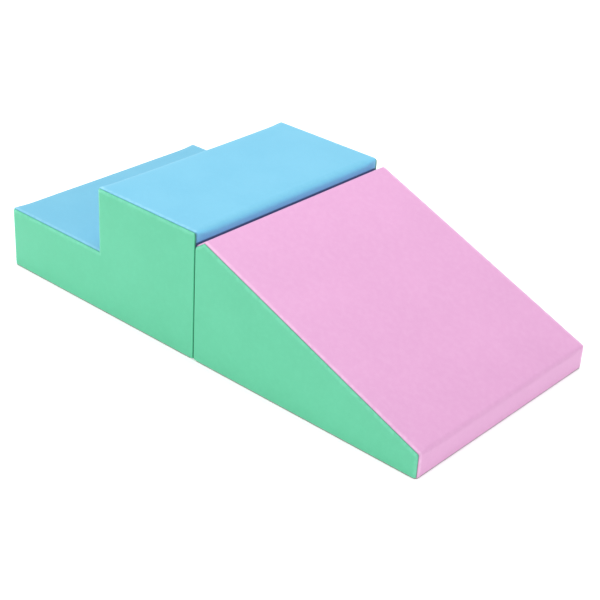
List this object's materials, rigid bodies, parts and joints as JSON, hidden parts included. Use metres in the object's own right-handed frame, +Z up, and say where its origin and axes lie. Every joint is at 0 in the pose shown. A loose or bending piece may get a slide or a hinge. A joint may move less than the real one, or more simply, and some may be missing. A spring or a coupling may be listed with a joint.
{
  "type": "toddler slide",
  "caption": "Soft-play climb and slide for toddlers: a stepped foam block and a wedge ramp, covered in green, blue and pink leatherette.",
  "frame": {"origin": "middle of the footprint, on the floor, close to the joint between the two blocks", "axes": "+X from the stair's front riser towards the ramp's tip, +Y across the slide to its far side, +Z up"},
  "size_m": [1.22, 0.6, 0.305],
  "materials": {
    "green_leatherette": "satin, fine grain",
    "blue_leatherette": "satin, fine grain",
    "pink_leatherette": "satin, fine grain",
    "core_foam": "closed-cell foam",
    "pad_sponge": "open-cell sponge",
    "base_fabric": "dotted anti-slip",
    "zip_tape": "woven",
    "zip_coil": "nylon",
    "zip_metal": "plated",
    "hook_tape": "hooked pile",
    "loop_tape": "looped pile"
  },
  "bodies": {
    "stair": {"stair_back_strip": "blue_leatherette", "stair_base_sheet_far": "core_foam", "stair_base_sheet_near": "core_foam", "stair_bottom_panel_far": "base_fabric", "stair_bottom_panel_near": "base_fabric", "stair_front_strip": "blue_leatherette", "stair_hook_strip_far": "hook_tape", "stair_hook_strip_near": "hook_tape", "stair_lower_tread_pad": "pad_sponge", "stair_plank_bottom": "core_foam", "stair_plank_lower": "core_foam", "stair_plank_top": "core_foam", "stair_plank_upper": "core_foam", "stair_side_panel_far": "green_leatherette", "stair_side_panel_near": "green_leatherette", "stair_upper_tread_pad": "pad_sponge", "stair_zip_coil_far": "zip_coil", "stair_zip_coil_near": "zip_coil", "stair_zip_end_tab_back": "base_fabric", "stair_zip_end_tab_front": "base_fabric", "stair_zip_stop_closed": "zip_metal", "stair_zip_stop_open_far": "zip_metal", "stair_zip_stop_open_near": "zip_metal", "stair_zip_tape_far": "zip_tape", "stair_zip_tape_near": "zip_tape"},
    "stair_zip_slider": {"stair_zip_slider": "zip_metal"},
    "stair_zip_pull": {"stair_zip_pull": "zip_metal"},
    "ramp": {"ramp_base_sheet_far": "core_foam", "ramp_base_sheet_near": "core_foam", "ramp_bottom_panel_far": "base_fabric", "ramp_bottom_panel_near": "base_fabric", "ramp_loop_strip_far": "loop_tape", "ramp_loop_strip_near": "loop_tape", "ramp_plank_bottom": "core_foam", "ramp_plank_lower": "core_foam", "ramp_plank_top": "core_foam", "ramp_plank_upper": "core_foam", "ramp_side_panel_far": "green_leatherette", "ramp_side_panel_near": "green_leatherette", "ramp_slope_pad": "pad_sponge", "ramp_slope_strip": "pink_leatherette", "ramp_zip_coil_far": "zip_coil", "ramp_zip_coil_near": "zip_coil", "ramp_zip_end_tab_back": "base_fabric", "ramp_zip_end_tab_front": "base_fabric", "ramp_zip_stop_closed": "zip_metal", "ramp_zip_stop_open_far": "zip_metal", "ramp_zip_stop_open_near": "zip_metal", "ramp_zip_tape_far": "zip_tape", "ramp_zip_tape_near": "zip_tape"},
    "ramp_zip_slider": {"ramp_zip_slider": "zip_metal"},
    "ramp_zip_pull": {"ramp_zip_pull": "zip_metal"}
  },
  "joints": [
    {"name": "ramp_pull_off", "type": "slide", "parent": "stair", "child": "ramp", "axis": [1, 0, 0], "range_m": [0, 0.3]},
    {"name": "stair_zip_travel", "type": "slide", "parent": "stair", "child": "stair_zip_slider", "axis": [1, 0, 0], "range_m": [0, 0.505]},
    {"name": "stair_pull_swing", "type": "hinge", "parent": "stair_zip_slider", "child": "stair_zip_pull", "pos_m": [-0.5622, 0, 0.0022], "axis": [0, 1, 0], "range_deg": [0, 180]},
    {"name": "ramp_zip_travel", "type": "slide", "parent": "ramp", "child": "ramp_zip_slider", "axis": [-1, 0, 0], "range_m": [0, 0.505]},
    {"name": "ramp_pull_swing", "type": "hinge", "parent": "ramp_zip_slider", "child": "ramp_zip_pull", "pos_m": [0.5622, 0, 0.0022], "axis": [0, -1, 0], "range_deg": [0, 180]}
  ]
}
